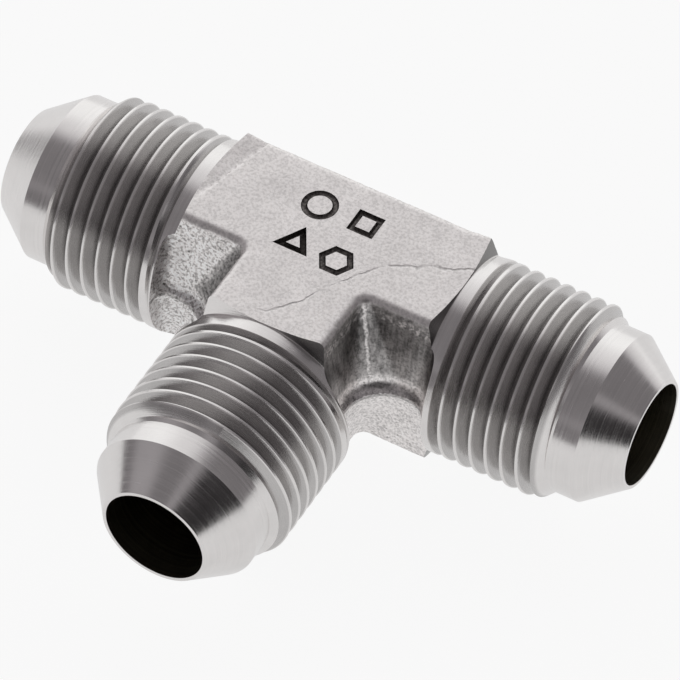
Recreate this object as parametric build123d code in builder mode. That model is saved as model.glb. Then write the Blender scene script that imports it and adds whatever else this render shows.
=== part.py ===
from build123d import *

import os
from math import hypot, radians, tan

# Flare tee fitting: one forged and turned steel body with three equal male ends.
# The run lies along X and the branch points along -Y. The origin is where the bores cross,
# and the body rests on a flat face, with its twin on top. Sizes are in millimetres.

# Thread: 3/4-16 unified, the size that belongs to 1/2 inch tube. The ends are turned to its
# outside diameter.
inch = 25.4
thread_major_diameter = 0.75 * inch
threads_per_inch = 16
thread_depth_share = 0.7578
thread_chamfer_angle = 45

# Turned end, from the nose inwards
centre_to_nose = 32.8
bore_diameter = 10.0
nose_land_width = 0.35
flare_cone_angle = 74
pilot_length = 2.45
pilot_clearance = 0.07
centre_to_shoulder = 13.4
shoulder_lean_angle = 20

# Forging: two level flats, drafted walls, and a trimmed flash line round the middle
flat_above_thread = 0.125
flat_width = 11.9
flat_edge_radius = 0.9
wall_draft_angle = 7
foot_radius = 0.7
flash_thickness = 0.4
pocket_end_gap = 0.9
pocket_end_radius = 1.5
crotch_radius = 2.6
cut_margin = 1.0

# Sizes that follow from the ones above
thread_radius = thread_major_diameter / 2
thread_root_radius = thread_radius - thread_depth_share * inch / threads_per_inch
pilot_radius = thread_root_radius - pilot_clearance
bore_radius = bore_diameter / 2
nose_radius = bore_radius + nose_land_width
cone_length = (pilot_radius - nose_radius) / tan(radians(flare_cone_angle / 2))
cone_base = centre_to_nose - cone_length
thread_start = cone_base - pilot_length
thread_chamfer_length = (thread_radius - pilot_radius) / tan(radians(thread_chamfer_angle))
flat_height = thread_radius + flat_above_thread
draft_slope = tan(radians(wall_draft_angle))
flash_top = flash_thickness / 2
cut_height = flat_height + cut_margin
wall_at_flash = flat_width / 2 + (flat_height - flash_top) * draft_slope
pocket_end = centre_to_shoulder + pocket_end_gap
blank_half_width = thread_radius + cut_margin
blank_reach = pocket_end + cut_margin
inside_stub = pocket_end + cut_margin / 2
turning_radius = hypot(blank_half_width, flat_height) + cut_margin
shoulder_lean = (turning_radius - thread_radius) * tan(radians(shoulder_lean_angle))

end_planes = {
    "right": Plane(origin=(0, 0, 0), x_dir=(0, 1, 0), z_dir=(1, 0, 0)),
    "left": Plane(origin=(0, 0, 0), x_dir=(0, -1, 0), z_dir=(-1, 0, 0)),
    "branch": Plane(origin=(0, 0, 0), x_dir=(1, 0, 0), z_dir=(0, -1, 0)),
}


def male_end():
    """One turned end along +Z, out of the forged stub: thread cylinder, pilot and flare cone."""
    with BuildPart() as end:
        with BuildSketch(Plane.XZ):
            with BuildLine():
                Polyline(
                    (0, inside_stub),
                    (thread_radius, inside_stub),
                    (thread_radius, thread_start - thread_chamfer_length),
                    (pilot_radius, thread_start),
                    (pilot_radius, cone_base),
                    (nose_radius, centre_to_nose),
                    (0, centre_to_nose),
                    close=True,
                )
            make_face()
        revolve(axis=Axis.Z)
    return end.part


def turning_scrap():
    """What the lathe takes off the forging round one end along +Z, up to the leaning shoulder."""
    with BuildPart() as scrap:
        with BuildSketch(Plane.XZ):
            with BuildLine():
                Polyline(
                    (thread_radius, centre_to_shoulder),
                    (turning_radius, centre_to_shoulder - shoulder_lean),
                    (turning_radius, blank_reach + cut_margin),
                    (thread_radius, blank_reach + cut_margin),
                    close=True,
                )
            make_face()
        revolve(axis=Axis.Z)
    return scrap.part


def pocket(outline, wall_planes):
    """A pocket with leaning walls, the same above and below the flash."""
    with BuildPart() as hollow:
        with BuildSketch(Plane.XY.offset(flash_top)):
            with BuildLine():
                Polyline(*outline, close=True)
            make_face()
        extrude(amount=cut_height - flash_top)
        for wall_plane in wall_planes:
            split(bisect_by=wall_plane, keep=Keep.TOP)

        # the crotch between two walls, then the corners next to the turned ends
        corner_edges = edges().group_by(Axis.Z)[1].sort_by(SortBy.DISTANCE)
        crotch_count = len(wall_planes) - 1
        fillet(corner_edges[crotch_count:crotch_count + 2], radius=pocket_end_radius)
        if crotch_count:
            corner_edges = edges().group_by(Axis.Z)[1].sort_by(SortBy.DISTANCE)
            fillet(corner_edges[:crotch_count], radius=crotch_radius)

        # the foot where the walls run out into the flash, and the trimmed flash itself
        fillet(faces().sort_by(Axis.Z)[0].edges(), radius=foot_radius)
        extrude(faces().sort_by(Axis.Z)[0], amount=flash_top)
        mirror(about=Plane.XY)
    return hollow.part


def beside_pocket(edge):
    """Whether an edge of a flat runs along a pocket, and not round the end of an arm."""
    return max(abs(edge.center().X), abs(edge.center().Y)) < inside_stub


end_shape = male_end()
scrap_shape = turning_scrap()
wall_planes = {
    side: Plane(origin=(side_x * wall_at_flash, side_y * wall_at_flash, flash_top), x_dir=(side_y, -side_x, 0),
                z_dir=(side_x, side_y, draft_slope))
    for side, (side_x, side_y) in {"right": (1, 0), "front": (0, -1), "back": (0, 1)}.items()
}
front_pocket = pocket(
    [(0, 0), (pocket_end, 0), (pocket_end, -pocket_end), (0, -pocket_end)],
    [wall_planes["right"], wall_planes["front"]],
)
back_pocket = pocket(
    [(-pocket_end, 0), (pocket_end, 0), (pocket_end, pocket_end), (-pocket_end, pocket_end)],
    [wall_planes["back"]],
)

with BuildPart() as tee_body:
    # the blank: a bar along the run and a bar along the branch, both as high as the flats
    with BuildSketch():
        with BuildLine():
            Polyline(
                (-blank_reach, blank_half_width),
                (blank_reach, blank_half_width),
                (blank_reach, -blank_half_width),
                (blank_half_width, -blank_half_width),
                (blank_half_width, -blank_reach),
                (-blank_half_width, -blank_reach),
                (-blank_half_width, -blank_half_width),
                (-blank_reach, -blank_half_width),
                close=True,
            )
        make_face()
    extrude(amount=flat_height, both=True)

    # the forged pockets: two beside the branch and one along the back
    add(front_pocket, mode=Mode.SUBTRACT)
    add(mirror(front_pocket, about=Plane.YZ, mode=Mode.PRIVATE), mode=Mode.SUBTRACT)
    add(back_pocket, mode=Mode.SUBTRACT)

    # the rounded rims of the two flats, along the pockets
    level_faces = faces().filter_by(Axis.Z)
    flat_edges = level_faces.sort_by(Axis.Z)[0].edges() + level_faces.sort_by(Axis.Z)[-1].edges()
    fillet(flat_edges.filter_by(beside_pocket), radius=flat_edge_radius)

    # the three ends, turned back to their leaning shoulders
    for end_plane in end_planes.values():
        with Locations(end_plane.location):
            add(scrap_shape, mode=Mode.SUBTRACT)
            add(end_shape)

    # the bores: through the run, and from the branch into it
    with BuildSketch(end_planes["left"]):
        Circle(bore_radius)
    extrude(amount=centre_to_nose + cut_margin, both=True, mode=Mode.SUBTRACT)
    with BuildSketch(end_planes["branch"]):
        Circle(bore_radius)
    extrude(amount=centre_to_nose + cut_margin, mode=Mode.SUBTRACT)

tee_body.part.label = "tee_body"
os.makedirs("parts", exist_ok=True)
export_step(tee_body.part, "parts/tee_body.step")
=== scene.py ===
"""A forged and turned flare tee fitting lying on a pale studio floor.

The forging is cut from a blank by its drafted pockets and given its grain, then its three ends
are turned, threaded and bored. Lengths in the settings are in millimetres.
"""
import math

import bpy
from bpy.props import FloatProperty, FloatVectorProperty, IntProperty, PointerProperty
from mathutils import Euler, Matrix, Vector, noise


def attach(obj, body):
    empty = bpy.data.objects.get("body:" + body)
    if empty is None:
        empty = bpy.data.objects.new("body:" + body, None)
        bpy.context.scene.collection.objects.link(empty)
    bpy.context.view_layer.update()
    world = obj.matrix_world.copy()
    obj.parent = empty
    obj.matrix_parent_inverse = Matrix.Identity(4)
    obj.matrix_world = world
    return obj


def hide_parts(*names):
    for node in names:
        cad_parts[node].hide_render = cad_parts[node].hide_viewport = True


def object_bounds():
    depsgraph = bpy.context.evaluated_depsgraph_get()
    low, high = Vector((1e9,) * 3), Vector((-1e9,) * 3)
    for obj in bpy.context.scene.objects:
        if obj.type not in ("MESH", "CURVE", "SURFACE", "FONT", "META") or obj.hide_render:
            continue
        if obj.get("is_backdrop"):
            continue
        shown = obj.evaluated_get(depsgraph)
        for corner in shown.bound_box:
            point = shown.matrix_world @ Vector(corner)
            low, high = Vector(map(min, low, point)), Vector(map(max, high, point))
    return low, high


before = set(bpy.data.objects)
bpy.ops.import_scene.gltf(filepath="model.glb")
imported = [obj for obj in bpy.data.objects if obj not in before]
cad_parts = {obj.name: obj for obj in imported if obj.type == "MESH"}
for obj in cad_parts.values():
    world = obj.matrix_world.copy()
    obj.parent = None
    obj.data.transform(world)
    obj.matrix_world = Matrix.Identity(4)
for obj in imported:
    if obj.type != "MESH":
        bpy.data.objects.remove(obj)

bl_info = {
    "name": "Flare tee fitting",
    "version": (1, 0, 0),
    "blender": (4, 5, 0),
    "location": "View3D > Sidebar > Flare Tee",
    "description": "Models and finishes a forged flare tee fitting on a studio floor",
    "category": "Object",
}

MM = 0.001
ARMS = {"right": Euler((0, math.radians(90), 0)),
        "left": Euler((0, math.radians(-90), 0)),
        "branch": Euler((math.radians(90), 0, 0))}
ARM_TURN = {"right": Matrix(((0, 0, 1), (1, 0, 0), (0, 1, 0))),
            "left": Matrix(((0, 0, -1), (-1, 0, 0), (0, 1, 0))),
            "branch": Matrix(((1, 0, 0), (0, 0, -1), (0, 1, 0)))}


def mm_size(name, default, description):
    """A length setting in millimetres."""
    return FloatProperty(name=name, description=description, default=default, min=0.0, soft_max=100.0)


class TeeForging(bpy.types.PropertyGroup):
    flat_height: mm_size("Flat height", 9.65, "From the middle plane to each level flat")
    flat_half: mm_size("Flat half width", 5.95, "Half the width of a flat before its rim is rounded")
    rim_radius: mm_size("Rim radius", 0.6, "Rounding along the rims of the flats")
    draft: FloatProperty(name="Draft", description="Lean of the pocket walls", default=math.radians(7), unit="ROTATION")
    foot_height: mm_size("Foot height", 1.5, "Where the walls start to flare out to the flash")
    flash_overhang: mm_size("Flash overhang", 0.65, "How far the trimmed flash stands out from the walls")
    flash_half: mm_size("Flash half thickness", 0.2, "Half the thickness of the trimmed flash")
    pocket_end: mm_size("Pocket end", 14.3, "From the middle to the far end of each pocket")
    stamp_size: mm_size("Stamp size", 1.45, "Radius of the stamped shapes")
    stamp_stroke: mm_size("Stamp stroke", 0.62, "Width of the stamped grooves")
    voxel: mm_size("Grain mesh", 0.2, "Mesh size of the forged skin")
    grain: mm_size("Grain height", 0.03, "Height of the fine forged grain")


class TeeTurning(bpy.types.PropertyGroup):
    shoulder: mm_size("Shoulder", 13.4, "From the middle to the shoulder of each end")
    nose: mm_size("Nose", 32.8, "From the middle to the nose of each end")
    crest: mm_size("Thread radius", 9.525, "Outer radius of the thread")
    pitch: mm_size("Pitch", 1.5875, "Distance from one thread crest to the next")
    pilot: mm_size("Pilot radius", 8.25, "Radius between the thread and the cone")
    bore: mm_size("Bore radius", 5.0, "Radius of the bores")
    nose_radius: mm_size("Nose radius", 5.35, "Outer radius of the land at the nose")
    segments: IntProperty(name="Segments", description="Sides of each turned surface", default=192, min=24)


class TeeFinish(bpy.types.PropertyGroup):
    forged: FloatVectorProperty(name="Forged steel", description="Colour of the forged skin", subtype="COLOR",
                                size=3, default=(0.83, 0.80, 0.79), min=0, max=1)
    turned: FloatVectorProperty(name="Turned steel", description="Colour of the turned ends", subtype="COLOR",
                                size=3, default=(0.80, 0.78, 0.77), min=0, max=1)


class TeeStage(bpy.types.PropertyGroup):
    azimuth: FloatProperty(name="Azimuth", description="Camera direction round the part", default=math.radians(28.57),
                           unit="ROTATION")
    elevation: FloatProperty(name="Elevation", description="Camera height angle", default=math.radians(49.80),
                             unit="ROTATION")
    roll: FloatProperty(name="Roll", description="Camera roll", default=math.radians(1.31), unit="ROTATION")
    distance: FloatProperty(name="Distance", description="From the camera to the part", default=0.6077, unit="LENGTH")
    lens: FloatProperty(name="Lens", description="Focal length on a 36 mm sensor", default=349.7)


def settings(name):
    return getattr(bpy.context.scene, "tee_" + name)


# Modelling helpers

def object_mode():
    if bpy.context.object and bpy.context.object.mode != "OBJECT":
        bpy.ops.object.mode_set(mode="OBJECT")


def pick(*pieces):
    """Selects just these objects and makes the first one active."""
    object_mode()
    bpy.ops.object.select_all(action="DESELECT")
    for piece in pieces:
        piece.select_set(True)
    bpy.context.view_layer.objects.active = pieces[0]
    return pieces[0]


def clear_pick():
    object_mode()
    bpy.ops.object.select_all(action="DESELECT")


def named(name):
    piece = bpy.context.object
    piece.name = name
    piece.data.name = name
    return piece


def choose(piece, vertices=None, edges=None, faces=None):
    """Opens edit mode with just the elements that pass the given tests selected."""
    pick(piece)
    mesh = piece.data
    for kind in (mesh.vertices, mesh.edges, mesh.polygons):
        kind.foreach_set("select", [False] * len(kind))
    mode = (True, False, False)
    if vertices:
        for v in mesh.vertices:
            v.select = vertices(v.co)
    if edges:
        mode = (False, True, False)
        for e in mesh.edges:
            e.select = edges(mesh.vertices[e.vertices[0]].co, mesh.vertices[e.vertices[1]].co)
    if faces:
        mode = (False, False, True)
        for f in mesh.polygons:
            f.select = faces(f)
    bpy.context.tool_settings.mesh_select_mode = mode
    bpy.ops.object.mode_set(mode="EDIT")


def place(piece):
    pick(piece)
    bpy.ops.object.transform_apply(location=True, rotation=True, scale=True)
    return piece


def joined(name, pieces):
    pick(*pieces)
    if len(pieces) > 1:
        bpy.ops.object.join()
    return named(name)


def tidy_normals(piece):
    pick(piece)
    bpy.ops.object.mode_set(mode="EDIT")
    bpy.ops.mesh.select_all(action="SELECT")
    bpy.ops.mesh.remove_doubles(threshold=1e-7)
    bpy.ops.mesh.normals_make_consistent(inside=False)
    object_mode()


def apply_modifier(piece, kind, **values):
    pick(piece)
    modifier = piece.modifiers.new(kind.lower(), kind)
    for key, value in values.items():
        setattr(modifier, key, value)
    bpy.ops.object.modifier_apply(modifier=modifier.name)


def cut(piece, tool, operation="DIFFERENCE"):
    """Cuts the piece with a closed tool, which is used up."""
    before = len(piece.data.polygons)
    apply_modifier(piece, "BOOLEAN", object=tool, operation=operation, solver="MANIFOLD")
    if len(piece.data.polygons) == before:
        raise RuntimeError("the tool " + tool.name + " cut nothing")
    bpy.data.objects.remove(tool)


def finished_as(piece, name):
    """Gives all faces one of the finishes, with the same slots on the body and on its tools."""
    piece.data.materials.clear()
    for finish in FINISHES:
        piece.data.materials.append(material(finish))
    piece.data.polygons.foreach_set("material_index", [list(FINISHES).index(name)] * len(piece.data.polygons))


def turned_solid(name, stations, segments):
    """A solid of revolution along +Z, drawn out station by station from a disc."""
    clear_pick()
    height, radius = stations[0]
    bpy.ops.mesh.primitive_circle_add(vertices=segments, radius=radius * MM, fill_type="NGON",
                                      location=(0, 0, height * MM))
    piece = place(named(name))
    bpy.ops.object.mode_set(mode="EDIT")
    bpy.ops.mesh.select_all(action="SELECT")
    bpy.context.tool_settings.mesh_select_mode = (False, False, True)
    for next_height, next_radius in stations[1:]:
        bpy.ops.mesh.extrude_region_move(TRANSFORM_OT_translate={"value": (0, 0, (next_height - height) * MM)})
        scale = next_radius / radius
        bpy.ops.transform.resize(value=(scale, scale, 1), center_override=(0, 0, next_height * MM))
        height, radius = next_height, next_radius
    object_mode()
    tidy_normals(piece)
    return piece


def point_along(piece, arm):
    """Turns a piece that was made along +Z to point along one of the three arms."""
    pick(piece)
    piece.matrix_world = ARM_TURN[arm].to_4x4()
    return place(piece)


# The forging

def foot_levels(f):
    """Height and wall distance from the flash up to above the flat."""
    slope = math.tan(f.draft)
    at_foot = f.flat_half + (f.flat_height - f.foot_height) * slope
    rise = f.foot_height - f.flash_half
    levels = []
    for step in range(5):
        share = step / 5
        levels.append((f.flash_half + rise * share, at_foot + f.flash_overhang * (1 - share) ** 2))
    top = f.flat_height + 1
    for step in range(5):
        height = f.foot_height + (top - f.foot_height) * step / 4
        levels.append((height, f.flat_half + (f.flat_height - height) * slope))
    return levels


def pocket_loop(f, side, height, wall):
    """One level outline of a pocket, with its corners rounded. Side 0 is the back."""
    pe = f.pocket_end
    share = max(0, (abs(height) - f.foot_height) / (f.flat_height - f.foot_height))
    foot_crotch, foot_end = (4.0, 2.4) if side > 0 else (5.3, 1.3)
    crotch = foot_crotch + share * (1.0 - foot_crotch)
    end = foot_end + share * (0.9 - foot_end)
    clear_pick()
    if side:
        middle = (side * (wall + pe) / 2 * MM, -(wall + pe) / 2 * MM, height * MM)
        bpy.ops.mesh.primitive_plane_add(size=(pe - wall) * MM, location=middle)
    else:
        bpy.ops.mesh.primitive_plane_add(size=1, location=(0, (wall + pe) / 2 * MM, height * MM))
        bpy.context.object.scale = (2 * pe * MM, (pe - wall) * MM, 1)
    loop = place(named("pocket_loop"))
    near = wall * MM + 1e-5
    if side:
        choose(loop, vertices=lambda co: (abs(co.x) < near) != (abs(co.y) < near))
    else:
        choose(loop, vertices=lambda co: co.y < near)
    bpy.ops.mesh.bevel(offset=end * MM, segments=8, affect="VERTICES")
    if side:
        choose(loop, vertices=lambda co: abs(co.x) < near and abs(co.y) < near)
        bpy.ops.mesh.bevel(offset=crotch * MM, segments=14, affect="VERTICES")
    bpy.ops.mesh.select_all(action="SELECT")
    bpy.ops.mesh.delete(type="ONLY_FACE")
    object_mode()
    return loop


def pocket_tool(f, side):
    """A closed cutter for one pocket, bridged from its level outlines."""
    upper = foot_levels(f)
    levels = [(-height, wall) for height, wall in reversed(upper)] + upper
    tool = joined("pocket", [pocket_loop(f, side, height, wall) for height, wall in levels])
    bpy.ops.object.mode_set(mode="EDIT")
    bpy.ops.mesh.select_all(action="SELECT")
    bpy.ops.mesh.bridge_edge_loops()
    bpy.ops.mesh.select_all(action="SELECT")
    bpy.ops.mesh.fill_holes(sides=0)
    object_mode()
    tidy_normals(tool)
    return tool


def forging_blank(f):
    """A tee-shaped block, as high as the flats, with its arms left long."""
    half, reach = 10.5, f.pocket_end + 1.2
    clear_pick()
    bpy.ops.mesh.primitive_cube_add(size=1)
    blank = bpy.context.object
    blank.scale = (2 * reach * MM, 2 * half * MM, 2 * f.flat_height * MM)
    blank = place(named("tee_body_finish"))
    bpy.ops.object.mode_set(mode="EDIT")
    for side in (-1, 1):
        bpy.ops.mesh.select_all(action="SELECT")
        bpy.ops.mesh.bisect(plane_co=(side * half * MM, 0, 0), plane_no=(1, 0, 0))
    object_mode()
    choose(blank, faces=lambda p: p.normal.y < -0.9 and abs(p.center.x) < MM)
    bpy.ops.mesh.extrude_region_move(TRANSFORM_OT_translate={"value": (0, (half - reach) * MM, 0)})
    object_mode()
    tidy_normals(blank)
    return blank


def on_rim(f, a, b):
    """Whether an edge is part of a flat's rim, inside the shoulders."""
    top = f.flat_height * MM
    level = abs(abs(a.z) - top) < 1e-6 and abs(abs(b.z) - top) < 1e-6
    outer = 10.49 * MM
    reach = (f.pocket_end + 0.4) * MM
    inside = all(abs(c.x) < reach and -reach < c.y < outer for c in (a, b))
    wall = (f.flat_half + 0.01) * MM
    back = abs(a.y - b.y) < 1e-7 and abs(a.x - b.x) > 20 * MM
    return level and inside and (back or all(c.y < -wall + 3e-5 and abs(c.x) > wall - 3e-5 for c in (a, b)))


def skin(f, piece):
    """The forged skin: soft unevenness and fine grain."""
    mesh = piece.data
    mesh.update()
    fine, coarse = f.grain * MM, 0.03 * MM
    normals = [v.normal.copy() for v in mesh.vertices]
    for v, n in zip(mesh.vertices, normals):
        p = v.co / MM
        level = abs(n.z)
        pocket_side = v.co.x / MM if v.co.y < -6 * MM and abs(v.co.x) > 6 * MM else 0
        rough = 0.35 if level > 0.8 else 0.4 if pocket_side > 0 else 1.1
        grain = noise.noise(p * 2.6) + 0.6 * noise.noise(p * 5.3)
        soft = noise.noise(p * 0.45 + Vector((3, 1, 7)))
        v.co += n * (fine * rough * grain + coarse * soft)
    mesh.update()


class TEE_OT_forging(bpy.types.Operator):
    """Cut the drafted pockets from the blank and give it a forged skin"""
    bl_idname = "tee.forging"
    bl_label = "Forged body"

    def execute(self, context):
        f = settings("forging")
        body = forging_blank(f)
        cut(body, joined("pockets", [pocket_tool(f, side) for side in (-1, 1, 0)]))
        tidy_normals(body)
        choose(body, edges=lambda a, b: on_rim(f, a, b))
        bpy.ops.mesh.bevel(offset=f.rim_radius * MM, segments=5, affect="EDGES", clamp_overlap=False)
        object_mode()
        body.data.remesh_voxel_size = f.voxel * MM
        pick(body)
        bpy.ops.object.voxel_remesh()
        skin(f, body)
        finished_as(body, "forged_skin")
        return {"FINISHED"}


# The turned ends

def groove_tool(t, phase):
    """The helical thread groove of one end along +Z, shallower where it runs out."""
    depth = 0.85 * t.pitch / 2 / math.tan(math.radians(30))
    mouth = 0.94 * t.pitch / 2
    reach = mouth / math.tan(math.radians(30))
    root = t.crest - 0.7578 * t.pitch
    start = t.shoulder + 0.2
    clear_pick()
    bpy.ops.mesh.primitive_circle_add(vertices=3, radius=MM, fill_type="NOTHING")
    tool = place(named("thread_groove"))
    corners = ((root, 0), (root + reach, -mouth), (root + reach, mouth))
    for v, (r, z) in zip(tool.data.vertices, corners):
        v.co = (r * MM, 0, (start + z) * MM)
    turns = math.ceil((28.3 - start) / t.pitch)
    apply_modifier(tool, "SCREW", angle=math.radians(360), screw_offset=t.pitch * MM, iterations=turns,
                   steps=t.segments, render_steps=t.segments, use_merge_vertices=False)
    bpy.ops.object.mode_set(mode="EDIT")
    bpy.ops.mesh.select_all(action="SELECT")
    bpy.ops.mesh.fill_holes(sides=0)
    object_mode()
    tidy_normals(tool)
    runout = t.shoulder + 2.1
    for v in tool.data.vertices:
        out = max(0.0, min(1.0, (runout * MM - v.co.z) / (1.2 * MM)))
        r = math.hypot(v.co.x, v.co.y)
        k = (r + out * depth * 1.05 * MM) / r
        v.co.x *= k
        v.co.y *= k
    turn = Matrix.Rotation(phase + 2 * math.pi * start / t.pitch, 4, "Z")
    tool.matrix_world = turn
    return place(tool)


class TEE_OT_marks(bpy.types.Operator):
    """Stamp four plain shapes into the upper flat"""
    bl_idname = "tee.marks"
    bl_label = "Stamped shapes"

    def execute(self, context):
        f = settings("forging")
        stamps = []
        for sides, x, y, turn in ((40, -2.65, 1.5, 0), (4, 2.1, 1.6, 45), (3, -2.4, -3.5, 90), (6, 1.95, -3.6, 0)):
            clear_pick()
            bpy.ops.mesh.primitive_torus_add(major_segments=sides, minor_segments=12, major_radius=f.stamp_size * MM,
                                             minor_radius=f.stamp_stroke / 2 / math.cos(math.pi / sides) * MM,
                                             rotation=(0, 0, math.radians(turn)),
                                             location=(x * MM, y * MM, (f.flat_height + 0.02) * MM))
            stamps.append(place(named("stamp")))
        tool = joined("stamps", stamps)
        finished_as(tool, "stamped_mark")
        cut(bpy.data.objects["tee_body_finish"], tool)
        return {"FINISHED"}


class TEE_OT_turning(bpy.types.Operator):
    """Turn, thread and bore the three ends"""
    bl_idname = "tee.turning"
    bl_label = "Turned ends"

    def execute(self, context):
        f, t = settings("forging"), settings("turning")
        body = bpy.data.objects["tee_body_finish"]
        cap = (f.pocket_end + 0.8) * MM
        for normal in ((1, 0, 0), (-1, 0, 0), (0, -1, 0)):
            axis = Vector(normal)
            pick(body)
            bpy.ops.object.mode_set(mode="EDIT")
            bpy.ops.mesh.select_all(action="SELECT")
            bpy.ops.mesh.bisect(plane_co=axis * cap, plane_no=normal, clear_outer=True, use_fill=True)
            object_mode()
            choose(body, faces=lambda p: p.normal.dot(axis) > 0.99 and p.center.dot(axis) > cap - 1e-6)
            bpy.ops.mesh.extrude_region_move(
                TRANSFORM_OT_translate={"value": axis * (t.nose * MM + MM - cap)})
            object_mode()
        for arm in ARMS:
            tool = point_along(turned_ring(f, t), arm)
            finished_as(tool, "turned_steel")
            cut(body, tool)
        grooves = []
        for arm, phase in (("right", 315), ("left", 315), ("branch", 315)):
            grooves.append(point_along(groove_tool(t, math.radians(phase)), arm))
        tool = joined("thread_grooves", grooves)
        finished_as(tool, "turned_steel")
        cut(body, tool)
        for arm, low in (("right", -t.nose - 3), ("branch", 0)):
            tool = point_along(turned_solid("bore", [(low, t.bore), (t.nose + 3, t.bore)], t.segments), arm)
            finished_as(tool, "drilled_bore")
            cut(body, tool)
        pick(body)
        bpy.ops.object.shade_smooth_by_angle(angle=math.radians(32))
        return {"FINISHED"}


def turned_ring(f, t):
    """A ring with the profile of one end on its inside, which the lathe takes off."""
    wide = 14.9
    lean = (wide - t.crest) * math.tan(math.radians(20))
    inner = [(t.shoulder, t.crest), (25.226, t.crest), (26.5, t.pilot), (28.95, t.pilot), (t.nose, t.nose_radius)]
    clear_pick()
    start = t.shoulder - lean
    bpy.ops.mesh.primitive_circle_add(vertices=t.segments, radius=wide * MM, fill_type="NOTHING",
                                      location=(0, 0, start * MM))
    ring = place(named("lathe_ring"))
    bpy.ops.object.mode_set(mode="EDIT")
    bpy.ops.mesh.select_all(action="SELECT")
    bpy.context.tool_settings.mesh_select_mode = (False, True, False)
    height, radius = start, wide
    for next_height, next_radius in inner + [(t.nose, 0.5), (t.nose + 3, 0.5), (t.nose + 3, wide)]:
        bpy.ops.mesh.extrude_region_move(TRANSFORM_OT_translate={"value": (0, 0, (next_height - height) * MM)})
        scale = next_radius / radius
        bpy.ops.transform.resize(value=(scale, scale, 1), center_override=(0, 0, next_height * MM))
        height, radius = next_height, next_radius
    bpy.ops.mesh.select_all(action="DESELECT")
    bpy.ops.mesh.select_non_manifold(extend=False, use_wire=False, use_multi_face=False,
                                     use_non_contiguous=False, use_verts=False)
    bpy.ops.mesh.bridge_edge_loops()
    object_mode()
    tidy_normals(ring)
    return ring


# Shader maths

class Sock:
    """A shader socket that takes part in Python arithmetic."""

    def __init__(self, tree, link):
        self.tree, self.link = tree, link

    def node(self, kind, out=0, keep=None, **sockets):
        """Adds a node with its settings first and then its sockets, by name or i0, i1 and so on."""
        new = self.tree.nodes.new(kind)
        for key, value in (keep or {}).items():
            setattr(new, key, value)
        for key, value in sockets.items():
            socket = new.inputs[int(key[1:])] if key[0] == "i" and key[1:].isdigit() else new.inputs[key.replace("_", " ")]
            if isinstance(value, Sock):
                self.tree.links.new(value.link, socket)
            else:
                socket.default_value = value
        return Sock(self.tree, new.outputs[out])

    def math(self, operation, *values):
        return self.node("ShaderNodeMath", keep={"operation": operation}, **{f"i{i}": v for i, v in enumerate(values)})

    def __add__(self, other):
        return self.math("ADD", self, other)

    def __radd__(self, other):
        return self.math("ADD", other, self)

    def __sub__(self, other):
        return self.math("SUBTRACT", self, other)

    def __rsub__(self, other):
        return self.math("SUBTRACT", other, self)

    def __mul__(self, other):
        return self.math("MULTIPLY", self, other)

    def __rmul__(self, other):
        return self.math("MULTIPLY", other, self)

    def ramp(self, low, high, to_low=0.0, to_high=1.0):
        return self.node("ShaderNodeMapRange", keep={"interpolation_type": "SMOOTHSTEP"},
                         i0=self, i1=low, i2=high, i3=to_low, i4=to_high)

    def noise(self, scale, detail=2.0, roughness=0.5):
        return self.node("ShaderNodeTexNoise", Vector=self, Scale=scale, Detail=detail, Roughness=roughness)


def material(name):
    """The named material, made on first use."""
    made = bpy.data.materials.get(name)
    if made:
        return made
    made = bpy.data.materials.new(name)
    made.use_nodes = True
    tree = made.node_tree
    shader = tree.nodes["Principled BSDF"]
    shader.inputs["Metallic"].default_value = 1.0
    here = Sock(tree, None)
    place_at = here.node("ShaderNodeTexCoord", out="Object")
    FINISHES[name](settings("finish"), shader, place_at)
    return made


def feed(shader, name, value):
    value.tree.links.new(value.link, shader.inputs[name])


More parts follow.
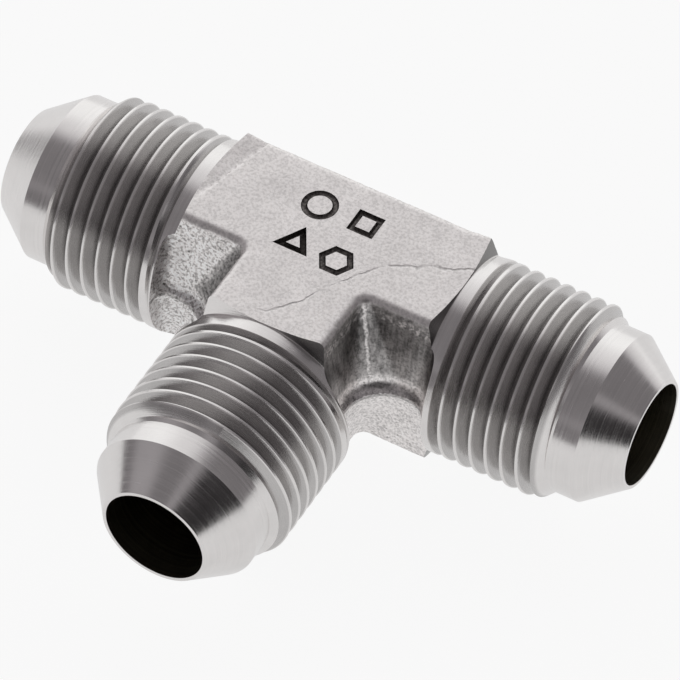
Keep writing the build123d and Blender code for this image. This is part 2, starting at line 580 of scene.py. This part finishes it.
def forged_skin(s, shader, at):
    """Matte granular steel: fine on the flats, coarse in the left pockets, drawn in the right ones, with painted shade
    on the right pocket walls, in the left crotch, along the crease and along the flash line.
    """
    x, y, z = axes_of(at)
    up = z.math("ABSOLUTE", z)
    wall = 1 - up.ramp(0.0088, 0.0094)
    low = up.ramp(0.0012, 0.0022)
    front = (0 - y).ramp(0.0056, 0.0064)
    right = x.ramp(0.0056, 0.0064) * front * wall
    left = (0 - x).ramp(0.0056, 0.0064) * front * wall
    fine = at.noise(3600.0, 4.0, 0.65)
    coarse = at.noise(1900.0, 3.0, 0.6)
    patches = at.noise(330.0, 3.0, 0.55)
    drawn = at.node("ShaderNodeVectorMath", keep={"operation": "MULTIPLY"}, i0=at, i1=(1, 1, 0.10)).noise(2600.0, 3.0)
    speck = (fine.ramp(0.36, 0.60) - 0.5) * (wall * 0.25 + left * 0.45 + 0.26)
    pits = (coarse.ramp(0.30, 0.44) - 1) * (wall * 0.30 + left * 0.3 + 0.05)
    tone = speck + pits + (patches - 0.5) * 0.24 + 0.95
    # Painted shade on the right pocket walls, streaked and lighter towards the foot. It is left off along a ragged band
    # below the rim, and mostly left off along a painted highlight line on the inner corner.
    ragged = x + y + (coarse - 0.5) * 0.0008
    corner = 1 - ragged.math("ABSOLUTE", ragged).ramp(0.00005, 0.00035)
    edge = (1 - (up - 0.0082).math("ABSOLUTE", up - 0.0082).ramp(0.0002, 0.0007)) * coarse.ramp(0.50, 0.58)
    streaked_painted_shade = drawn.ramp(0.30, 0.75, 0.80, 0.55) - z.ramp(0.002, 0.006, 0.16, 0.0)
    dark = right * z.ramp(0.0013, 0.0022) * (1 - corner * 0.85) * (1 - edge) * streaked_painted_shade
    normal = at.node("ShaderNodeNewGeometry", out="Normal")
    turn = axes_of(normal)[0]
    # Painted shade in the left pocket on the faces that turn to the left (the side of the branch and the crotch), above
    # the foot.
    crotch = left * low * (0 - turn).ramp(0.10, 0.38) * 0.62
    # Painted shade: a dark line along the flash at the middle plane, on the walls.
    flash = (1 - up.ramp(0.00012, 0.0003)) * wall * 0.45
    # A crease line on the upper flat: a groove in the bump, and also darkened in the tone as painted shade.
    crease_y = x.ramp(-0.0020, 0.0078, -0.0124, -0.0012) + (x - 0.0073).math("MAXIMUM", x - 0.0073, 0.0) * 0.5
    off = y - crease_y + (patches - 0.5) * 0.0022
    crease = (1 - off.math("ABSOLUTE", off).ramp(0.00003, 0.00028)) * patches.ramp(0.36, 0.52) * z.ramp(0.0090, 0.0094) * x.ramp(-0.003, 0.001)
    tone = tone * (1 - dark) * (1 - crotch) * (1 - crease * 0.22) * (1 - flash)
    color = at.node("ShaderNodeMix", out=2, keep={"data_type": "RGBA", "blend_type": "MULTIPLY"},
                    i0=1.0, i6=(*s.forged, 1), i7=at.node("ShaderNodeCombineColor", i0=tone, i1=tone, i2=tone))
    feed(shader, "Base Color", color)
    feed(shader, "Roughness", (fine - 0.5) * 0.2 + 0.42 - right * 0.10)
    height = fine * 0.6 + coarse * wall * (1 - right * 0.6) + left * coarse * 0.8 - crease * 1.2
    feed(shader, "Normal", at.node("ShaderNodeBump", Strength=0.6, Distance=0.00005, Height=height))


def stamped_mark(s, shader, at):
    """The grooves of the stamped shapes, their colour darkened as painted shade."""
    fine = at.noise(3600.0, 3.0, 0.6)
    # Painted shade: a dark colour inside the stamped grooves.
    tone = fine.ramp(0.3, 0.7, 0.06, 0.22)
    feed(shader, "Base Color", at.node("ShaderNodeCombineColor", i0=tone, i1=tone * 0.92, i2=tone * 0.88))
    shader.inputs["Roughness"].default_value = 0.45
    feed(shader, "Normal", at.node("ShaderNodeBump", Strength=0.5, Distance=0.00004, Height=fine))


def axes_of(at):
    return [at.node("ShaderNodeSeparateXYZ", out=i, i0=at) for i in range(3)]


def lathe_coordinate(at):
    """Distance along the arm that a point lies on, and from its axis."""
    x, y, z = axes_of(at)
    branch = (0 - y).ramp(0.0104, 0.0105)
    along = x.math("ABSOLUTE", x) * (1 - branch) - y * branch
    across = y * (1 - branch) + x * branch
    radius = (across * across + z * z).math("SQRT", across * across + z * z)
    return along, radius


def turned_steel(s, shader, at):
    """Satin steel with fine rings left by the lathe, a little rougher in the thread, with painted shade darkening the
    thread grooves and a painted dark reflection on the shoulders.
    """
    along, radius = lathe_coordinate(at)
    rings = at.node("ShaderNodeTexNoise", keep={"noise_dimensions": "2D"},
                    Vector=at.node("ShaderNodeCombineXYZ", i0=along, i1=radius, i2=0.0),
                    Scale=9000.0, Detail=2.0)
    deep = (1 - radius.ramp(0.00938, 0.00946)) * (1 - along.ramp(0.0256, 0.0259)) * along.ramp(0.0140, 0.0150)
    root = (1 - radius.ramp(0.0083, 0.0087)) * deep
    x, y, z = axes_of(at)
    # Painted dark reflection on one side of each shoulder cone.
    side = x + y.math("MAXIMUM", y, -0.0098) + 0.0098
    shoulder = radius.ramp(0.00956, 0.00966) * (1 - along.ramp(0.0134, 0.01345)) * side.ramp(0.0005, 0.0025)
    smears = at.noise(420.0, 3.0, 0.55)
    # Painted shade: the thread grooves are darkened, most at their roots.
    tone = 1 - deep * 0.30 - root * 0.15 + (smears - 0.5) * 0.16 + (rings - 0.5) * 0.12
    tone = tone * (1 - shoulder * 0.72)
    color = at.node("ShaderNodeMix", out=2, keep={"data_type": "RGBA", "blend_type": "MULTIPLY"},
                    i0=1.0, i6=(*s.turned, 1), i7=at.node("ShaderNodeCombineColor", i0=tone, i1=tone, i2=tone))
    feed(shader, "Base Color", color)
    feed(shader, "Roughness", (rings - 0.5) * 0.2 + 0.21 + deep * 0.05 + (smears - 0.5) * 0.08)
    feed(shader, "Normal", at.node("ShaderNodeBump", Strength=0.28, Distance=0.00002, Height=rings))


def drilled_bore(s, shader, at):
    """Steel with tool rings inside the bores, its colour darkened and browned as painted shade for the deep holes."""
    along, radius = lathe_coordinate(at)
    rings = at.node("ShaderNodeTexNoise", keep={"noise_dimensions": "1D"}, W=along, Scale=3000.0, Detail=2.0)
    # Painted shade: a dark brownish colour for the inside of the deep bores.
    tone = rings.ramp(0.3, 0.7, 0.26, 0.36)
    feed(shader, "Base Color", at.node("ShaderNodeCombineColor", i0=tone, i1=tone * 0.93, i2=tone * 0.74))
    shader.inputs["Roughness"].default_value = 0.34
    feed(shader, "Normal", at.node("ShaderNodeBump", Strength=0.3, Distance=0.00003, Height=rings))


FINISHES = {"forged_skin": forged_skin, "turned_steel": turned_steel, "drilled_bore": drilled_bore,
            "stamped_mark": stamped_mark}


# The stage

def studio_world():
    """A white backdrop behind and over the left, dark room in front, and white to the camera."""
    world = bpy.data.worlds.new("studio")
    bpy.context.scene.world = world
    world.use_nodes = True
    tree = world.node_tree
    here = Sock(tree, None)
    x, y, z = axes_of(here.node("ShaderNodeTexCoord", out="Generated"))
    to_right = (x + 0.31).math("MAXIMUM", x + 0.31, 0.0)
    to_left = (0 - x - 0.31).math("MAXIMUM", 0 - x - 0.31, 0.0)
    backdrop = (y - to_right * 0.95 - to_left * 0.45).ramp(-0.06, 0.34) * (1 - z.ramp(0.45, 1.0) * 0.42)
    toward = x * 0.6 - y * 0.75 + z * 0.2
    corner = toward.ramp(0.75, 0.84)
    stripe = toward.ramp(0.64, 0.70) * (1 - corner) * 0.16
    side = x.ramp(0.35, 0.50) * y.ramp(0.70, 0.80) * 0.45
    left_room = (0 - x).ramp(0.34, 0.62) * z.ramp(0.15, 0.35) * 0.16
    panel = (1 - (z - 0.42).math("ABSOLUTE", z - 0.42).ramp(0.06, 0.12)) * (0 - y).ramp(0.70, 0.78) * 0.07
    below = (0 - z).ramp(0.0, 0.08)
    room = 0.19 - corner * 0.16 + stripe + side + left_room + panel
    level = room + (1.06 - room) * backdrop
    level = level + (0.9 - level) * below
    seen = here.node("ShaderNodeLightPath", out="Is Camera Ray")
    level = level * (1 - seen) + seen
    back = tree.nodes["Background"]
    tint = here.node("ShaderNodeCombineColor", i0=level, i1=level * (level * 0.07 + 0.93), i2=level * (level * 0.03 + 0.97))
    tree.links.new(tint.link, back.inputs["Color"])


def studio_floor():
    clear_pick()
    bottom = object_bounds()[0][2]
    bpy.ops.mesh.primitive_plane_add(size=3, location=(0, 0, bottom))
    floor = place(named("studio_floor"))
    made = bpy.data.materials.new("pale_floor")
    made.use_nodes = True
    tree = made.node_tree
    shader = tree.nodes["Principled BSDF"]
    shader.inputs["Base Color"].default_value = (0.9, 0.9, 0.9, 1)
    shader.inputs["Roughness"].default_value = 0.8
    here = Sock(tree, None)
    path = tree.nodes.new("ShaderNodeLightPath")
    seen, gloss = [Sock(tree, path.outputs[name]) for name in ("Is Camera Ray", "Is Glossy Ray")]
    glow = here.node("ShaderNodeEmission", Color=(1, 1, 1, 1), Strength=1.0)
    mixed = here.node("ShaderNodeMixShader", i0=seen * 0.92 + gloss * 0.7, i1=Sock(tree, shader.outputs[0]), i2=glow)
    tree.links.new(mixed.link, tree.nodes["Material Output"].inputs["Surface"])
    floor.data.materials.append(made)
    floor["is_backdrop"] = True


def studio_camera(s):
    az, el, roll = s.azimuth, s.elevation, s.roll
    back = Vector((math.sin(az) * math.cos(el), -math.cos(az) * math.cos(el), math.sin(el)))
    right = Vector((math.cos(az), math.sin(az), 0))
    up = back.cross(right)
    across = right * math.cos(roll) + up * math.sin(roll)
    above = up * math.cos(roll) - right * math.sin(roll)
    data = bpy.data.cameras.new("camera")
    data.sensor_width = 36
    data.lens = s.lens
    data.clip_start = 0.01
    camera = bpy.data.objects.new("camera", data)
    bpy.context.scene.collection.objects.link(camera)
    spot = back * s.distance + across * 0.000402 - above * 0.0040624
    camera.matrix_world = Matrix((
        (across.x, above.x, back.x, spot.x),
        (across.y, above.y, back.y, spot.y),
        (across.z, above.z, back.z, spot.z),
        (0, 0, 0, 1)))
    bpy.context.scene.camera = camera


class TEE_OT_stage(bpy.types.Operator):
    """Lay the pale floor, light it and set up the camera"""
    bl_idname = "tee.stage"
    bl_label = "Studio"

    def execute(self, context):
        bpy.context.scene.view_settings.view_transform = "Standard"
        studio_world()
        studio_floor()
        studio_camera(settings("stage"))
        return {"FINISHED"}


class TEE_OT_assembly(bpy.types.Operator):
    """Put the finished fitting in place of its plain frame"""
    bl_idname = "tee.assembly"
    bl_label = "Put in place"

    def execute(self, context):
        body = bpy.data.objects["tee_body_finish"]
        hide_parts("tee_body")
        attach(body, "root")
        return {"FINISHED"}


class TEE_PT_panel(bpy.types.Panel):
    """Steps that model the fitting"""
    bl_idname = "TEE_PT_panel"
    bl_label = "Flare tee fitting"
    bl_space_type = "VIEW_3D"
    bl_region_type = "UI"
    bl_category = "Flare Tee"

    def draw(self, context):
        for step in STEPS:
            self.layout.operator("tee." + step)


STEPS = ("forging", "marks", "turning", "assembly", "stage")
SETTINGS = {"tee_forging": TeeForging, "tee_turning": TeeTurning, "tee_finish": TeeFinish, "tee_stage": TeeStage}
CLASSES = (*SETTINGS.values(), TEE_OT_forging, TEE_OT_marks, TEE_OT_turning, TEE_OT_assembly, TEE_OT_stage, TEE_PT_panel)


def register():
    for part in CLASSES:
        bpy.utils.register_class(part)
    for name, group in SETTINGS.items():
        setattr(bpy.types.Scene, name, PointerProperty(type=group))


def unregister():
    for name in SETTINGS:
        delattr(bpy.types.Scene, name)
    for part in reversed(CLASSES):
        bpy.utils.unregister_class(part)


def main():
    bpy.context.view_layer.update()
    register()
    for step in STEPS:
        getattr(bpy.ops.tee, step)()


if __name__ == "__main__":
    main()
